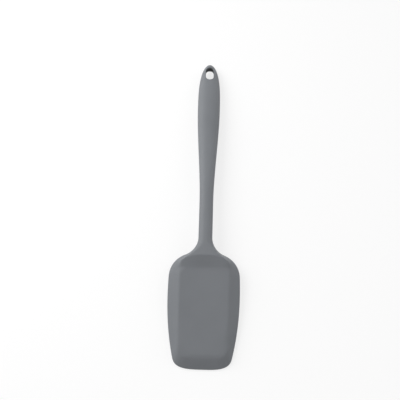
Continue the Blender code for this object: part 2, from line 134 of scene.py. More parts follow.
coreRoom = {
    "depth": 1.9,              # outer surface to the room that the nylon core lies in
    "tongueFromCrease": 2.7,
    "tongueEndRounding": 3.5,
    "tongueFanLength": 1.2,
    "tongueThickness": 4.2,
}

rows = {"hole": 32, "belowHole": 8, "endSide": 26, "grip": 76, "neck": 20, "flare": 50, "ramp": 40,
        "panel": 44, "tip": 64, "tongue": 14}

# Points across the room of the core, round the mouth of the hole and down its wall
stripPoints = {"room": 33, "mouth": 7, "holeWall": 5}

# Points that each path is drawn with before the rows are placed along it, and tries for the slope
pathPoints = {"slope": 400, "end": 600, "arc": 300, "outline": 2000, "tipSide": 200, "tip": 600,
              "panelSide": 100, "panelCorner": 200}

# Points closer than the first are joined, and edges shorter than the second are taken out
weld = {"join": 0.004, "sliver": 0.001}

# Each stretch of a section, from the middle of the back round the rim to the middle of the
# underside: its number of steps, and the turn of an oval section at its end, in degrees.
sectionStretches = {
    "back": (28, 41.0), "crest": (8, 57.3), "wall": (12, 73.6), "lipTop": (6, 90.0),
    "lipUnder": (6, 108.0), "lipFlat": (4, 117.0), "lipInner": (3, 119.0),
    "inside": (11, 135.0), "floorEdge": (8, 153.0), "floor": (18, 180.0),
}

taperStart = head["length"] - head["sideTaperFromCrease"]
shoulderStart = head["length"] - head["shoulderFromCrease"]
sideLean = math.atan(2.0 * head["sideDraw"] / (shoulderStart - taperStart))
shoulderReach = 0.5 * (spoonWidth - handle["neckWidth"]) - head["sideDraw"]
flareAngle = math.acos((head["flareRadius"] + head["shoulderRadius"] * math.cos(sideLean) - shoulderReach)
                       / (head["flareRadius"] + head["shoulderRadius"]))
shoulderEnd = shoulderStart + head["shoulderRadius"] * (math.sin(flareAngle) - math.sin(sideLean))
flareStart = shoulderEnd + head["flareRadius"] * math.sin(flareAngle)
gripStart = flareStart + handle["neckLength"]
gripPeak = spoonLength - handle["gripPeakFromEnd"]
endFanStart = spoonLength - handle["endFanLength"]
holeCentre = spoonLength - hangHole["fromEnd"]
creaseEnd = 0.5 * (head["panelWidthTop"] - head["crestRounding"])
panelTop = head["length"] - head["rampLength"]
panelTipTurn = head["panelTipGap"] + head["panelCorner"]
tipFanStart = panelTipTurn + head["tipFanLength"]


def smoothRise(start, end, value):
    # 0 at start and 1 at end, level at both: the share squared, times 3 less twice the share
    share = np.clip((value - start) / (end - start), 0.0, 1.0)
    return share * share * (3.0 - 2.0 * share)


def roundedRise(distance, rounding):
    # 0 before 0 and the distance itself after it, and over the corner the parabola
    # (distance + rounding)^2 / (4 rounding)
    turn = np.clip(distance + rounding, 0.0, 2.0 * rounding)
    return turn ** 2 / (4.0 * rounding) + np.maximum(distance - rounding, 0.0)


def alongPath(path, shares):
    # points at these shares of the length of a finely drawn path, straight between its points
    steps = np.linalg.norm(np.diff(path, axis=0), axis=1)
    distance = np.concatenate([[0.0], np.cumsum(steps)])
    wanted = shares * distance[-1]
    return np.stack([np.interp(wanted, distance, path[:, k]) for k in range(2)], axis=1)


def shares(count):
    # even shares from 0, without the last one
    return np.linspace(0.0, 1.0, count + 1)[:-1]


def inward(path, distance):
    # the path moved inwards, square to itself: each point plus the distance times its normal
    along = np.gradient(path, axis=0)
    along /= np.linalg.norm(along, axis=1)[:, None]
    return path + distance * np.stack([along[:, 1], -along[:, 0]], axis=1)


def smoothAlong(values, width):
    # mean over neighbouring rows with weights exp(-steps^2 / (2 width^2)), out to three widths;
    # both ends are carried on, turned round their last point, so that straight stretches stay straight
    reach = int(3 * width)
    weights = np.exp(-0.5 * (np.arange(-reach, reach + 1) / width) ** 2)
    weights /= weights.sum()
    before = 2.0 * values[0] - values[reach:0:-1]
    after = 2.0 * values[-1] - values[-2:-reach - 2:-1]
    padded = np.concatenate([before, values, after])
    return np.stack([np.convolve(column, weights, mode="valid") for column in padded.T], axis=1)


def handleHalfWidth(t):
    # half the neck's width, plus half of what the grip adds times a smooth rise
    rise = smoothRise(gripStart, gripPeak, t)
    return 0.5 * (handle["neckWidth"] + (handle["gripWidth"] - handle["neckWidth"]) * rise)


def handleHalfThickness(t):
    # half of: the neck's thickness, plus what the grip adds times a smooth rise from the neck,
    # less what the end lacks times a smooth rise from the grip
    rise = smoothRise(gripStart, gripPeak, t)
    fall = smoothRise(gripPeak, spoonLength, t)
    thickness = handle["neckThickness"] + (handle["gripThickness"] - handle["neckThickness"]) * rise
    return 0.5 * (thickness + (handle["endThickness"] - handle["gripThickness"]) * fall)


def handleSlope():
    # the least fall per length that brings some point under the grip to the table:
    # height of the neck less half the thickness, over the distance from the crease
    t = np.linspace(gripStart, spoonLength, pathPoints["slope"])
    return np.min((handle["neckHeight"] - handleHalfThickness(t)) / (t - head["length"]))


def handleHeight(t):
    # middle of the handle over the table: the neck's height, less the slope times the distance from
    # the crease
    return handle["neckHeight"] - handleSlope() * (t - head["length"])


def rimHeight(t):
    # plane of the rim: t times the tangent of the tilt, less what the table takes off the tip
    return t * math.tan(head["tilt"]) - head["restFlat"]


def sideHalfWidth(t):
    # half the width, less the taper times the share towards the tip to its power,
    # less the draw times the share towards the shoulder squared
    low = np.clip((taperStart - t) / taperStart, 0.0, 1.0)
    high = np.clip((t - taperStart) / (shoulderStart - taperStart), 0.0, 1.0)
    taper = head["sideTaper"] * low ** head["sideTaperPower"]
    return 0.5 * spoonWidth - taper - head["sideDraw"] * high ** 2


def panelHalfWidth(t):
    # half the width of the flat panel, in a straight line from its tip to its top
    share = (t - head["panelTipGap"]) / (panelTop - head["panelTipGap"])
    return 0.5 * (head["panelWidthTip"] + (head["panelWidthTop"] - head["panelWidthTip"]) * share)


def endHalfWidth(t, inset):
    # superellipse past the peak of the grip: the half width times the root of 1 less the reach to
    # the power of the fullness
    reach = (t - gripPeak) / (handle["gripPeakFromEnd"] - inset)
    return (0.5 * handle["gripWidth"] - inset) * np.sqrt(1.0 - reach ** handle["endFullness"])


def endPath(inset):
    # superellipse from the middle of the handle's end to its side: the half width times the cosine,
    # and the reach times the sine to the power of 2 over the fullness
    reach = handle["gripPeakFromEnd"] - inset
    startAngle = math.asin(((endFanStart - gripPeak) / reach) ** (0.5 * handle["endFullness"]))
    angle = np.linspace(0.5 * math.pi, startAngle, pathPoints["end"])
    half = (0.5 * handle["gripWidth"] - inset) * np.cos(angle)
    return np.stack([half, gripPeak + reach * np.sin(angle) ** (2.0 / handle["endFullness"])], axis=1)


def shoulderPath():
    # outline from the neck to the side: a hollow arc of a circle, then a round one that meets it
    # at the same angle
    angle = np.linspace(0.0, flareAngle, pathPoints["arc"])
    flare = np.stack([0.5 * handle["neckWidth"] + head["flareRadius"] * (1.0 - np.cos(angle)),
                      flareStart - head["flareRadius"] * np.sin(angle)], axis=1)
    angle = np.linspace(flareAngle, sideLean, pathPoints["arc"] + 1)[1:]
    shoulder = flare[-1] + head["shoulderRadius"] * np.stack(
        [np.cos(angle) - math.cos(flareAngle), np.sin(angle) - math.sin(flareAngle)], axis=1)
    return np.concatenate([flare, shoulder])


def tipPath():
    # side of the head, then a quarter of a superellipse across its tip: the side's half width times
    # the cosine, and the rounding times 1 less the sine, both to the power of 2 over the sharpness
    sideT = np.linspace(tipFanStart, head["tipRounding"], pathPoints["tipSide"])
    side = np.stack([sideHalfWidth(sideT), sideT], axis=1)
    angle = np.linspace(0.0, 0.5 * math.pi, pathPoints["tip"])
    tipT = head["tipRounding"] * (1.0 - np.sin(angle) ** (2.0 / head["tipSharpness"]))
    half = sideHalfWidth(tipT) * np.cos(angle) ** (2.0 / head["tipSharpness"])
    half[-1] = 0.0
    return np.concatenate([side, np.stack([half, tipT], axis=1)])


def panelTipPath():
    # side of the flat panel, a quarter of a circle at its corner, then straight across to the middle
    sideT = np.linspace(tipFanStart, panelTipTurn, pathPoints["panelSide"])
    side = np.stack([panelHalfWidth(sideT), sideT], axis=1)
    angle = np.linspace(0.0, 0.5 * math.pi, pathPoints["panelCorner"])
    inner = panelHalfWidth(panelTipTurn) - head["panelCorner"]
    corner = np.stack([inner + head["panelCorner"] * np.cos(angle),
                       panelTipTurn - head["panelCorner"] * np.sin(angle)], axis=1)
    return np.concatenate([side, corner, [[0.0, head["panelTipGap"]]]])


def headStations():
    # rows from the start of the flare to the tip: rim point, crest point and middle point of each,
    # at even shares of the outline, of the crest and of the middle line over every stretch
    shoulder = alongPath(shoulderPath(), np.linspace(0.0, 1.0, pathPoints["outline"]))
    inner = inward(shoulder, head["shoulderWall"])
    turn = int(np.argmin(np.abs(inner[:, 0] - creaseEnd)))

    # flare: down to the row whose crest reaches the end of the crease
    flareShares = np.linspace(0.0, 1.0, rows["flare"])
    flareRim = alongPath(shoulder[:turn + 1], flareShares)
    flareCrest = alongPath(inner[:turn + 1], flareShares)
    flareCrest[:, 0] = np.maximum(flareCrest[:, 0], head["neckSideShare"] * flareRim[:, 0])
    flareMiddle = flareStart + (head["length"] - flareStart) * flareShares

    # ramp: its crest runs straight on to the corner of the panel
    rampShares = np.linspace(0.0, 1.0, rows["ramp"] + 1)[1:]
    rampMiddle = head["length"] - head["rampLength"] * rampShares
    corner = np.array([0.5 * head["panelWidthTop"], panelTop])
    rampCrest = flareCrest[-1] + (corner - flareCrest[-1]) * rampShares[:, None]
    below = shoulder[turn:]
    sidePoint = [[np.interp(panelTop, shoulder[::-1, 1], shoulder[::-1, 0]), panelTop]]
    rampRim = alongPath(np.concatenate([below[below[:, 1] > panelTop], sidePoint]), rampShares)

    # panel: each row runs straight across the spoon
    panelT = np.linspace(panelTop, tipFanStart, rows["panel"] + 1)[1:]
    lowShoulder = np.interp(panelT, shoulder[::-1, 1], shoulder[::-1, 0])
    panelRimX = np.where(panelT > shoulderStart, lowShoulder, sideHalfWidth(panelT))
    panelRim = np.stack([panelRimX, panelT], axis=1)
    panelCrest = np.stack([panelHalfWidth(panelT), panelT], axis=1)

    # tip: the rows fan out round it from a short stretch of the middle line
    tipShares = np.linspace(0.0, 1.0, rows["tip"] + 1)[1:]
    tipMiddle = tipFanStart + (panelTipTurn + head["tipFanMiddle"] - tipFanStart) * tipShares
    rim = np.concatenate([flareRim, rampRim, panelRim, alongPath(tipPath(), tipShares)])
    upper = np.concatenate([flareCrest, rampCrest, panelCrest])
    crest = np.concatenate([smoothAlong(upper, head["cornerSmoothing"]),
                            alongPath(panelTipPath(), tipShares)])
    middle = np.concatenate([flareMiddle, rampMiddle, panelT, tipMiddle])
    return rim, crest, middle


def turned(before, corner, after, count):
    # points on a parabola that turns a corner, without its first end: before times (1 - s)^2,
    # plus the corner times 2 s (1 - s), plus after times s^2
    steps = np.linspace(0.0, 1.0, count + 1)[1:, None, None]
    return before * (1.0 - steps) ** 2 + corner * 2.0 * steps * (1.0 - steps) + after * steps ** 2


def straight(before, after, count):
    # points on a straight line, without its first end
    steps = np.linspace(0.0, 1.0, count + 1)[1:, None, None]
    return before + (after - before) * steps


def headSections(rim, crest, middle):
    # half sections drawn over fromRim (0 at the rim, 1 at the crest, 2 at the middle) and height over
    # the rim's plane: a parabola across the back, the wall, the lip, then the inside back to the middle
    wallRun = np.linalg.norm(crest - rim, axis=1)
    panelRun = np.hypot(crest[:, 0], crest[:, 1] - middle)

    # the ramp falls in a straight line from the crease to its foot, rounded at both
    distance = head["length"] - middle
    fall = roundedRise(distance, head["creaseRounding"])
    fall = fall - roundedRise(distance - head["rampLength"], head["rampFootRounding"])
    fall = fall / head["rampLength"]

    def lowered(t):
        # the crown at the tip, and the flare's back, which runs on at the slope of the handle
        crown = head["panelCrown"] * np.clip(1.0 - t / head["panelCrownLength"], 0.0, 1.0) ** 2
        return crown + (math.tan(head["tilt"]) + handleSlope()) * np.maximum(t - head["length"], 0.0)

    # the back of the flare drops across with the square of x, down to the ends of the crease
    acrossShare = np.clip(crest[:, 0] / creaseEnd, 0.0, 1.0)
    ridge = head["creaseHeight"] + (head["crestHeight"] - head["creaseHeight"]) * acrossShare ** 2
    topMiddle = head["creaseHeight"] + (head["height"] - head["creaseHeight"]) * fall - lowered(middle)
    topCrest = ridge + (head["height"] - ridge) * fall - lowered(crest[:, 1])
    floor = (head["height"] - bowl["wallThickness"]) * smoothRise(head["length"], panelTop, middle)

    def pair(fromRim, height):
        # one point for each row, from arrays or from one value for all of them
        return np.stack([fromRim + 0.0 * middle, height + 0.0 * middle], axis=1)

    def back(fromRim):
        # height across the back: the middle's, plus what the crest adds times (2 - fromRim)^2
        return pair(fromRim, topMiddle + (topCrest - topMiddle) * (2.0 - fromRim) ** 2)

    # the crest is softer towards the tip and at the upper corners of the panel
    softer = head["crestRoundingTip"] - head["crestRounding"]
    rounding = head["crestRounding"] + softer * smoothRise(head["crestSoftens"], panelTipTurn, crest[:, 1])
    atShoulder = smoothRise(panelTop - head["shoulderSoftens"], panelTop, crest[:, 1])
    softEnd = crest[rows["flare"], 1] + head["shoulderPast"]
    atShoulder *= 1.0 - smoothRise(panelTop, softEnd, crest[:, 1])
    rounding += (head["crestRoundingShoulder"] - head["crestRounding"]) * atShoulder
    crestLimit = roundingLimits["crest"]
    crestLimit = crestLimit + (roundingLimits["crestAtShoulder"] - crestLimit) * atShoulder
    crestShare = np.minimum(rounding / wallRun, crestLimit)
    crestInner = back(1.0 + np.minimum(rounding / panelRun, roundingLimits["crestInner"]))
    crestPoint = pair(1.0, topCrest)
    lipTop = pair(0.0, bowl["lipThickness"])
    crestOuter = crestPoint + (lipTop - crestPoint) * crestShare[:, None]
    lipShare = np.minimum(0.5 * bowl["lipThickness"] / wallRun, roundingLimits["lip"])
    lipUpper = lipTop + (crestPoint - lipTop) * lipShare[:, None]
    rimPoint = pair(0.0, 0.5 * bowl["lipThickness"])
    lipLower = pair(lipShare, 0.0)
    flatShare = np.minimum(bowl["lipWidth"] / wallRun, roundingLimits["lipFlat"])
    lipInner = pair(flatShare, 0.0)
    floorCorner = pair(bowl["floorEdgeShare"], floor)
    floorShare = np.minimum(bowl["floorRounding"] / wallRun, roundingLimits["floorOuter"])
    floorOuter = floorCorner + (lipInner - floorCorner) * floorShare[:, None]
    innerShare = np.minimum(bowl["floorRounding"] / panelRun, roundingLimits["floorInner"])
    floorInner = pair(1.0 + innerShare, floor)
    softShare = np.minimum(bowl["lipInnerRounding"] / wallRun, roundingLimits["lipInner"])[:, None]
    lipFlatEnd = lipInner + (lipLower - lipInner) * softShare * bowl["softFlat"]
    insideStart = lipInner + (floorOuter - lipInner) * softShare * bowl["softInside"]

    # the stretches of the section in their order
    counts = {name: stretch[0] for name, stretch in sectionStretches.items()}
    backShares = np.linspace(0.0, 1.0, counts["back"] + 1)
    columns = [np.stack([back(2.0 + (crestInner[:, 0] - 2.0) * share) for share in backShares])]
    columns.append(turned(crestInner, crestPoint, crestOuter, counts["crest"]))
    columns.append(straight(crestOuter, lipUpper, counts["wall"]))
    columns.append(turned(lipUpper, lipTop, rimPoint, counts["lipTop"]))
    columns.append(turned(rimPoint, pair(0.0, 0.0), lipLower, counts["lipUnder"]))
    columns.append(straight(lipLower, lipFlatEnd, counts["lipFlat"]))
    columns.append(turned(lipFlatEnd, lipInner, insideStart, counts["lipInner"]))
    columns.append(straight(insideStart, floorOuter, counts["inside"]))
    columns.append(turned(floorOuter, floorCorner, floorInner, counts["floorEdge"]))
    columns.append(straight(floorInner, pair(2.0, floor), counts["floor"]))
    section = np.concatenate(columns).transpose(1, 0, 2)
    return section[:, :, 0], section[:, :, 1]


def headSurface():
    # outside the crest a point lies on the straight line from rim to crest; inside it, across is
    # the crest's half width times its share, and along is the way to the crest times that share to
    # the power of the bow; the height is the rim's plus the section's
    rim, crest, middle = headStations()
    fromRim, height = headSections(rim, crest, middle)
    inTipFan = np.arange(len(middle)) >= len(middle) - rows["tip"]
    bow = np.where(inTipFan, 1.0, head["creaseArcPower"])
    outerShare = np.clip(fromRim, 0.0, 1.0)[:, :, None]
    outer = rim[:, None] + (crest - rim)[:, None] * outerShare
    innerShare = np.clip(2.0 - fromRim, 0.0, 1.0)
    innerX = crest[:, 0, None] * innerShare
    innerT = middle[:, None] + (crest[:, 1] - middle)[:, None] * innerShare ** bow[:, None]
    x = np.where(fromRim > 1.0, innerX, outer[:, :, 0])
    t = np.where(fromRim > 1.0, innerT, outer[:, :, 1])
    surface = np.stack([x, t, np.maximum(rimHeight(t) + height, 0.0)], axis=2)

    # the oval of the neck turns into the head's own sections over the flare
    flare = rows["flare"]
    angles = ovalAngles()
    oval = ovalSurface(rim[:flare], middle[:flare], handleHalfThickness(middle[:flare]),
                       np.broadcast_to(angles, (flare, len(angles))))
    blend = smoothRise(flareStart, head["length"], middle[:flare])[:, None, None]
    surface[:flare] = oval * (1.0 - blend) + surface[:flare] * blend
    return surface


def ovalAngles():
    # turn of the oval section at each column, so that it meets the columns of the head
    angles = [0.0]
    for count, end in sectionStretches.values():
        angles += list(np.linspace(angles[-1], end, count + 1)[1:])
    return np.radians(angles)


def ovalSurface(rim, middle, halfThickness, angles):
    # superellipse sections: sine across and cosine up, both raised to 2 over the squareness
    power = 2.0 / handle["squareness"]
    across = np.clip(np.sin(angles), 0.0, 1.0) ** power
    across[np.sin(angles) < 1e-9] = 0.0     # both ends of a section lie exactly on the middle
    up = np.sign(np.cos(angles)) * np.abs(np.cos(angles)) ** power
    x = rim[:, 0, None] * across
    t = middle[:, None] + (rim[:, 1] - middle)[:, None] * across
    return np.stack([x, t, handleHeight(t) + halfThickness[:, None] * up], axis=2)


def holeDistance(x, t, margin):
    # distance to the edge of a slot with round ends, grown by the margin: below zero inside it
    radius = 0.5 * hangHole["width"]
    straightHalf = 0.5 * hangHole["length"] - radius
    past = np.maximum(np.abs(t - holeCentre) - straightHalf, 0.0)
    return np.hypot(x, past) - radius - margin


def holeCrossing(rim, middle, margin):
    # share of the way from the middle to the rim at which a ray leaves the hole, by halving
    low, high = np.zeros(len(middle)), np.ones(len(middle))
    for step in range(hangHole["halvings"]):
        share = 0.5 * (low + high)
        inside = holeDistance(rim[:, 0] * share, middle + (rim[:, 1] - middle) * share, margin) <= 0.0
        low = np.where(inside, share, low)
        high = np.where(inside, high, share)
    low[-1] = 0.0
    return low


def endStations(inset, margin):
    # rows round the handle's end: the first ones start at the edge of the hanging hole
    holeLow = holeCentre - 0.5 * hangHole["length"] - margin
    first = spoonLength - handle["endFanMiddle"]
    holeShare = (first - holeLow) / (first - endFanStart)
    crowd = 1.0 - (1.0 - np.linspace(0.0, 1.0, rows["hole"] + 1)) ** hangHole["rowCrowding"]
    below = holeShare + (1.0 - holeShare) * np.linspace(0.0, 1.0, rows["belowHole"] + 1)[1:-1]
    fanShares = np.concatenate([holeShare * crowd, below])
    rim = alongPath(endPath(inset), fanShares)
    rim[0, 0] = 0.0
    middle = first + (endFanStart - first) * fanShares
    sideT = endFanStart + (gripPeak - endFanStart) * shares(rows["endSide"])
    gripT = gripPeak + (gripStart - gripPeak) * shares(rows["grip"])
    neckT = gripStart + (flareStart - gripStart) * shares(rows["neck"])
    straightT = np.concatenate([gripT, neckT])
    rim = np.concatenate([rim, np.stack([endHalfWidth(sideT, inset), sideT], axis=1),
                          np.stack([handleHalfWidth(straightT) - inset, straightT], axis=1)])
    return rim, np.concatenate([middle, sideT, straightT])


def ovalWithHole(rim, middle, halfThickness, angles, margin):
    # the first rows start their sections at the edge of the hole instead of at the middle
    holeRows = rows["hole"] + 1
    crossing = holeCrossing(rim[:holeRows], middle[:holeRows], margin)
    start = np.arcsin(crossing ** (0.5 * handle["squareness"]))
    turns = np.repeat(angles[None, :], len(middle), axis=0)
    turns[:holeRows] = start[:, None] + turns[:holeRows] * (1.0 - start[:, None] / (0.5 * math.pi))
    return ovalSurface(rim, middle, halfThickness, turns)


def handleSurface():
    # oval sections from the end of the handle to the start of the flare, open round the hole's mouth
    rim, middle = endStations(0.0, hangHole["mouthRounding"])
    return ovalWithHole(rim, middle, handleHalfThickness(middle), ovalAngles(), hangHole["mouthRounding"])


def roomSurface():
    # room for the nylon core: the handle's own sections, set in, with a flat tongue at the neck
    depth = coreRoom["depth"]
    rim, middle = endStations(depth, 0.0)
    radius = head["flareRadius"] + depth
    centreX = 0.5 * handle["neckWidth"] + head["flareRadius"]
    rounding = coreRoom["tongueEndRounding"]
    turnT = head["length"] + coreRoom["tongueFromCrease"] + rounding
    angle = np.linspace(0.0, math.asin((flareStart - turnT) / radius), rows["tongue"])
    side = np.stack([centreX - radius * np.cos(angle), flareStart - radius * np.sin(angle)], axis=1)
    angle = np.linspace(0.0, 0.5 * math.pi, rows["tongue"])[1:]
    end = np.stack([side[-1, 0] * np.cos(angle), turnT - rounding * np.sin(angle)], axis=1)
    end[-1, 0] = 0.0
    endMiddle = np.linspace(turnT, turnT - coreRoom["tongueFanLength"], rows["tongue"])[1:]
    rim = np.concatenate([rim, side, end])
    middle = np.concatenate([middle, side[:, 1], endMiddle])
    thinning = 0.5 * (handle["neckThickness"] - coreRoom["tongueThickness"]) - depth
    half = handleHalfThickness(middle) - depth - thinning * smoothRise(flareStart, turnT, middle)
    angles = np.linspace(0.0, math.pi, stripPoints["room"])
    return ovalWithHole(rim, middle, half, angles, 0.0)


def mouthSurface(edge, side):
    # rounds the hole's edge by a quarter turn: the rounding times the sine moves it into the hole, and
    # times 1 less the cosine moves it down the wall
    radius = 0.5 * hangHole["width"]
    straightHalf = 0.5 * hangHole["length"] - radius
    nearest = holeCentre + np.clip(edge[:, 1] - holeCentre, -straightHalf, straightHalf)
    out = np.stack([edge[:, 0], edge[:, 1] - nearest], axis=1)
    out /= np.linalg.norm(out, axis=1)[:, None]
    turn = np.linspace(0.0, 0.5 * math.pi, stripPoints["mouth"])[:, None]
    rounding = hangHole["mouthRounding"]
    x = edge[None, :, 0] - rounding * np.sin(turn) * out[None, :, 0]
    t = edge[None, :, 1] - rounding * np.sin(turn) * out[None, :, 1]
    z = edge[None, :, 2] - side * rounding * (1.0 - np.cos(turn))
    return np.stack([x, t, np.broadcast_to(z, x.shape)], axis=2).transpose(1, 0, 2)


def wallSurface(start, end):
    # straight strip between two edges with the same number of points
    steps = np.linspace(0.0, 1.0, stripPoints["holeWall"])[None, :, None]
    return start[:, None] + (end - start)[:, None] * steps


def closedMesh(name, grids):
    # joins the half grids, mirrors them across the middle and points the faces outwards
    points, faces, offset = [], [], 0
    for grid in grids:
        rowCount, columnCount = grid.shape[:2]
        index = offset + np.arange(rowCount * columnCount).reshape(rowCount, columnCount)
        quads = np.stack([index[:-1, :-1], index[:-1, 1:], index[1:, 1:], index[1:, :-1]], axis=2)
        quads = quads.reshape(-1, 4)
        flat = grid.reshape(-1, 3)
        points += [flat, flat * [-1.0, 1.0, 1.0]]
        faces += [quads, quads[:, ::-1] + rowCount * columnCount]
        offset += 2 * rowCount * columnCount
    points = np.concatenate(points)
    points[:, 1] -= 0.5 * spoonLength
    mesh = bpy.data.meshes.new(name)
    mesh.from_pydata(millimetre * points, [], np.concatenate(faces))
    shape = bmesh.new()
    shape.from_mesh(mesh)
    bmesh.ops.remove_doubles(shape, verts=shape.verts, dist=millimetre * weld["join"])
    bmesh.ops.dissolve_degenerate(shape, edges=shape.edges, dist=millimetre * weld["sliver"])
    bmesh.ops.recalc_face_normals(shape, faces=shape.faces)
    openEdges = sum(1 for edge in shape.edges if not edge.is_manifold)
    volume = shape.calc_volume() * 1e6     # cubic metres to cubic centimetres
    print(name, "faces", len(shape.faces), "open edges", openEdges, "volume", volume)
    shape.to_mesh(mesh)
    shape.free()
    mesh.shade_smooth()
    piece = bpy.data.objects.new(name, mesh)
    bpy.context.scene.collection.objects.link(piece)
    return piece


def makeSiliconeBody():
    # the outer surface, the mouths and walls of the hanging hole, and the room of the core, each with
    # its columns in the order that turns its faces out of the silicone
    outer = np.concatenate([handleSurface(), headSurface()])
    room = roomSurface()
    holeRows = rows["hole"] + 1
    topMouth = mouthSurface(outer[:holeRows, 0], 1.0)
    lowMouth = mouthSurface(outer[:holeRows, -1], -1.0)
    topWall = wallSurface(topMouth[:, -1], room[:holeRows, 0])
    lowWall = wallSurface(room[:holeRows, -1], lowMouth[:, -1])
    grids = [outer, topMouth[:, ::-1], topWall[:, ::-1], room[:, ::-1], lowWall[:, ::-1], lowMouth]
    return closedMesh("silicone_spoon_skin", grids)


skin = makeSiliconeBody()
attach(skin, "root")
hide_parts("silicone_body")


def linear(hexColour):
    # one sRGB hex colour as linear values: c / 12.92 where dark, else ((c + 0.055) / 1.055)^2.4
    channels = [int(hexColour[k:k + 2], 16) / 255.0 for k in (1, 3, 5)]
    return [c / 12.92 if c <= 0.04045 else ((c + 0.055) / 1.055) ** 2.4 for c in channels] + [1.0]


def addNode(tree, kind, links=(), **settings):
    # adds a node with its settings, and links sockets into it: a setting that starts with _ is
    # the node's own, and one such as i3 is the value of its input 3
    node = tree.nodes.new(kind)
    for key, value in settings.items():
        if key[0] == "_":
            setattr(node, key[1:], value)
        else:
            node.inputs[int(key[1:]) if key[0] == "i" and key[1:].isdigit() else key].default_value = value
    for source, target in links:
        tree.links.new(source, node.inputs[target])
    return node


silicone = {
    "shade": "#6f7276",        # cool mid grey, and a hair lighter where the pigment is thinner
    "lightShade": "#73767a",
    "roughness": (0.56, 0.66),
    "ior": 1.41,
    "mottle": 38.0,            # size of the pigment clouds in mm
    "grain": 0.9,              # the mould's blasted grain, coarser than the real 0.1 mm so that it shows
    "grainDepth": 0.012,
    "waviness": 14.0,          # slow rise and sink of the soft wall over its mould
    "waveDepth": 0.05,
    "grainDetail": 4.0,
    "sheen": 0.08,             # dust and a matt bloom at grazing angles
    "sheenRoughness": 0.5,
}

nylon = {
    "shade": "#121314",
    "fibreShade": "#1c1e1f",
    "roughness": (0.55, 0.7),
    "ior": 1.53,
    "specularLevel": 0.3,      # loose fibre ends at the surface take away part of its shine
    "fibre": 1.2,              # spacing of the glass fibre streaks in mm
    "fibreStretch": 9.0,
    "fibreDepth": 0.02,
    "fibreDetail": 3.0,
}

noiseMiddle = (0.35, 0.65)     # a noise seldom leaves this range


def noiseOver(tree, size, stretch=1.0, detail=2.0):
    # noise whose lumps are this many millimetres wide, drawn out along the spoon by the stretch
    place = addNode(tree, "ShaderNodeTexCoord")
    scale = 1000.0 / size      # lumps in a metre
    drawn = addNode(tree, "ShaderNodeMapping", [(place.outputs["Object"], "Vector")],
                    Scale=(scale, scale / stretch, scale))
    return addNode(tree, "ShaderNodeTexNoise", [(drawn.outputs[0], "Vector")], Scale=1.0, Detail=detail)


def between(tree, source, low, high):
    # spreads the middle of a noise over a range of values
    return addNode(tree, "ShaderNodeMapRange", [(source, "Value")],
                   i1=noiseMiddle[0], i2=noiseMiddle[1], i3=low, i4=high)


def newMaterial(name):
    # the material, its node tree and the shader in it
    material = bpy.data.materials.new(name)
    material.use_nodes = True
    tree = material.node_tree
    return material, tree, tree.nodes["Principled BSDF"]


def mouldedSilicone():
    # soft silicone from a blasted steel mould: no gloss, a dusty edge and clouds too faint to see alone
    material, tree, shader = newMaterial("mouldedSilicone")
    clouds = between(tree, noiseOver(tree, silicone["mottle"]).outputs["Fac"], 0.0, 1.0)
    shade = addNode(tree, "ShaderNodeMix", [(clouds.outputs[0], "Factor")], _data_type="RGBA",
                    i6=linear(silicone["shade"]), i7=linear(silicone["lightShade"]))
    tree.links.new(shade.outputs[2], shader.inputs["Base Color"])
    grain = noiseOver(tree, silicone["grain"], detail=silicone["grainDetail"])
    rough = between(tree, grain.outputs["Fac"], *silicone["roughness"])
    tree.links.new(rough.outputs[0], shader.inputs["Roughness"])
    waves = noiseOver(tree, silicone["waviness"])
    wave = addNode(tree, "ShaderNodeBump", [(waves.outputs["Fac"], "Height")],
                   Distance=millimetre * silicone["waveDepth"])
    bump = addNode(tree, "ShaderNodeBump", [(grain.outputs["Fac"], "Height"), (wave.outputs[0], "Normal")],
                   Distance=millimetre * silicone["grainDepth"])
    tree.links.new(bump.outputs[0], shader.inputs["Normal"])
    shader.inputs["IOR"].default_value = silicone["ior"]
    shader.inputs["Sheen Weight"].default_value = silicone["sheen"]
    shader.inputs["Sheen Roughness"].default_value = silicone["sheenRoughness"]
    return material


def mouldedNylon():
    # black glass-filled nylon: dull, with grey fibre streaks that follow the flow along the handle
    material, tree, shader = newMaterial("mouldedNylon")
    fibres = noiseOver(tree, nylon["fibre"], nylon["fibreStretch"], nylon["fibreDetail"])
    streaks = between(tree, fibres.outputs["Fac"], 0.0, 1.0)
    shade = addNode(tree, "ShaderNodeMix", [(streaks.outputs[0], "Factor")], _data_type="RGBA",
                    i6=linear(nylon["shade"]), i7=linear(nylon["fibreShade"]))
    tree.links.new(shade.outputs[2], shader.inputs["Base Color"])
    rough = between(tree, fibres.outputs["Fac"], *nylon["roughness"])
    tree.links.new(rough.outputs[0], shader.inputs["Roughness"])
    bump = addNode(tree, "ShaderNodeBump", [(fibres.outputs["Fac"], "Height")],
                   Distance=millimetre * nylon["fibreDepth"])
    tree.links.new(bump.outputs[0], shader.inputs["Normal"])
    shader.inputs["IOR"].default_value = nylon["ior"]
    shader.inputs["Specular IOR Level"].default_value = nylon["specularLevel"]
    return material


skin.data.materials.append(mouldedSilicone())
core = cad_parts["handle_core"]
core.material_slots[0].material = mouldedNylon()
print("silicone and nylon finished")


stage = {
    "size": 3.0,               # metres
    "colour": "#fcfcfc",
    "whitening": 0.75,         # share of plain white that the camera sees in the floor
}


def seenShare(tree):
    # 1 where the camera, a reflection or a clear piece looks, and 0 where light is gathered
    rays = addNode(tree, "ShaderNodeLightPath")
    seen = addNode(tree, "ShaderNodeMath", _operation="MAXIMUM",
                   links=[(rays.outputs["Is Camera Ray"], 0), (rays.outputs["Is Glossy Ray"], 1)])
    return addNode(tree, "ShaderNodeMath", _operation="MAXIMUM",
                   links=[(seen.outputs[0], 0), (rays.outputs["Is Transmission Ray"], 1)])


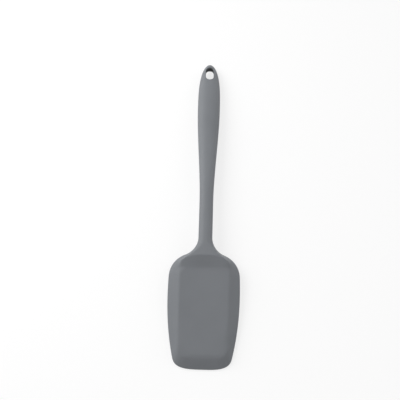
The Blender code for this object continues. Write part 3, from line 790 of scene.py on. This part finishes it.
def whiteSweep():
    # matt white studio sweep that keeps the spoon's shadow under a share of plain white
    material, tree, shader = newMaterial("whiteSweep")
    shader.inputs["Base Color"].default_value = linear(stage["colour"])
    shader.inputs["Roughness"].default_value = 1.0
    shader.inputs["Specular IOR Level"].default_value = 0.0
    white = addNode(tree, "ShaderNodeEmission", Color=(1.0, 1.0, 1.0, 1.0), Strength=1.0)
    share = addNode(tree, "ShaderNodeMath", [(seenShare(tree).outputs[0], 0)], _operation="MULTIPLY",
                    i1=stage["whitening"])
    mix = addNode(tree, "ShaderNodeMixShader",
                  [(share.outputs[0], 0), (shader.outputs[0], 1), (white.outputs[0], 2)])
    tree.links.new(mix.outputs[0], tree.nodes["Material Output"].inputs["Surface"])
    return material


def makeFloor():
    # one flat square round the origin, at the height of the table
    half = 0.5 * stage["size"]
    corners = [(-half, -half, 0.0), (half, -half, 0.0), (half, half, 0.0), (-half, half, 0.0)]
    mesh = bpy.data.meshes.new("studio_floor")
    mesh.from_pydata(corners, [], [(0, 1, 2, 3)])
    floor = bpy.data.objects.new("studio_floor", mesh)
    bpy.context.scene.collection.objects.link(floor)
    floor.data.materials.append(whiteSweep())


makeFloor()


# Broad soft light from the left and behind, a weaker one from the right and a little from the front.
# The azimuth is counted from +X towards +Y. All angles are in degrees.
lights = {
    "dome": 0.32,              # even light from all round
    "suns": {
        "key": {"azimuth": 145.0, "elevation": 30.0, "strength": 1.5, "width": 50.0},
        "side": {"azimuth": 29.0, "elevation": 20.0, "strength": 1.0, "width": 50.0},
        "front": {"azimuth": 270.0, "elevation": 30.0, "strength": 0.3, "width": 50.0},
    },
}

# Near soft box, in metres and watts: it gives the neck and the upper part of the head more light
# than the tip
softBox = {
    "place": (-0.35, 0.18, 0.35),
    "size": 0.35,
    "power": 1.32,
}


def addLamp(name, kind, place):
    # a lamp that the camera doesn't see, turned to the spoon
    lamp = bpy.data.lights.new(name, kind)
    holder = bpy.data.objects.new(name, lamp)
    bpy.context.scene.collection.objects.link(holder)
    holder.matrix_world = aimed(np.array(place))
    holder.visible_camera = False
    return lamp


def aimed(place):
    # stands at the place and looks at the origin: its z points away from the spoon, its x is level
    z = place / np.linalg.norm(place)
    x = np.cross([0.0, 0.0, 1.0], z)
    x /= np.linalg.norm(x)
    y = np.cross(z, x)
    return Matrix([[x[k], y[k], z[k], place[k]] for k in range(3)] + [[0, 0, 0, 1]])


def makeLights():
    # a white world whose light is the dome's, and suns whose direction is (cos azimuth cos elevation,
    # sin azimuth cos elevation, sin elevation)
    world = bpy.context.scene.world or bpy.data.worlds.new("studio")
    bpy.context.scene.world = world
    world.use_nodes = True
    background = world.node_tree.nodes["Background"]
    background.inputs["Color"].default_value = (1.0, 1.0, 1.0, 1.0)
    seen = seenShare(world.node_tree)
    level = addNode(world.node_tree, "ShaderNodeMapRange", [(seen.outputs[0], "Value")],
                    i3=lights["dome"], i4=1.0)
    world.node_tree.links.new(level.outputs[0], background.inputs["Strength"])
    for name, light in lights["suns"].items():
        azimuth, elevation = math.radians(light["azimuth"]), math.radians(light["elevation"])
        sun = addLamp(name, "SUN", (math.cos(azimuth) * math.cos(elevation),
                                    math.sin(azimuth) * math.cos(elevation), math.sin(elevation)))
        sun.energy = light["strength"]
        sun.angle = math.radians(light["width"])
    box = addLamp("soft_box", "AREA", softBox["place"])
    box.shape = "SQUARE"
    box.size = softBox["size"]
    box.energy = softBox["power"]


makeLights()
print("floor and lights in place")


camera = {
    "place": (-5.75, -183.06, 617.13),
    "pitch": math.radians(17.24),    # from looking straight down towards the end of the handle
    "roll": math.radians(1.743),
    "lens": 63.72,
    "sensorWidth": 36.0,
}


def makeCamera():
    # forward is (0, sin pitch, -cos pitch), and the frame is turned round it by the roll
    forward = np.array([0.0, math.sin(camera["pitch"]), -math.cos(camera["pitch"])])
    level = np.array([0.0, math.cos(camera["pitch"]), math.sin(camera["pitch"])])
    right = math.cos(camera["roll"]) * np.array([1.0, 0.0, 0.0]) + math.sin(camera["roll"]) * level
    up = math.cos(camera["roll"]) * level - math.sin(camera["roll"]) * np.array([1.0, 0.0, 0.0])
    lens = bpy.data.cameras.new("photo_camera")
    lens.lens = camera["lens"]
    lens.sensor_width = camera["sensorWidth"]
    holder = bpy.data.objects.new("photo_camera", lens)
    bpy.context.scene.collection.objects.link(holder)
    place = millimetre * np.array(camera["place"])
    turn = [[right[k], up[k], -forward[k], place[k]] for k in range(3)]
    holder.matrix_world = Matrix(turn + [[0, 0, 0, 1]])
    bpy.context.scene.camera = holder


makeCamera()
print("camera in place")
bpy.context.scene.view_settings.view_transform = "Standard"

bpy.context.view_layer.update()
